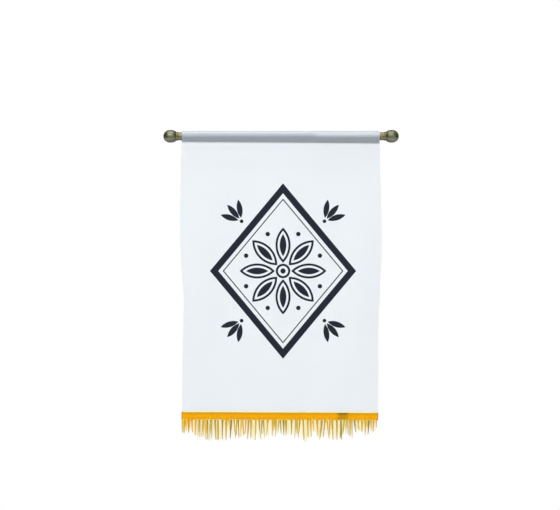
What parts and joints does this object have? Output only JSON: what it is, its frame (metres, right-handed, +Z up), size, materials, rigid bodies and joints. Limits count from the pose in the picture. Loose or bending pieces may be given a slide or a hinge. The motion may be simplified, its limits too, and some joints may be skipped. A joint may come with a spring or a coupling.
{
  "type": "podium banner on a rod",
  "caption": "Small white cloth banner under a grey satin heading, hung from a plain rod with ball finials and edged below with a gold fringe.",
  "frame": {"origin": "middle of the rod, on its axis", "axes": "+Z up, +X along the rod to the right of a viewer of the front, front of the banner faces -Y"},
  "size_m": [0.2416, 0.013, 0.3195],
  "materials": {
    "rod_gold": "gold-coloured bar, brushed",
    "finial_brass": "satin antique brass, dull gold on the collar and grey-olive on the ball",
    "heading_satin": "silver-grey satin",
    "panel_cloth": null,
    "fringe_gold": "gold braid and yarn"
  },
  "bodies": {
    "root": {"rod": "rod_gold", "finial_left": "finial_brass", "finial_right": "finial_brass", "rod_sleeve": "heading_satin", "banner_panel": "panel_cloth", "fringe": "fringe_gold"}
  },
  "joints": []
}
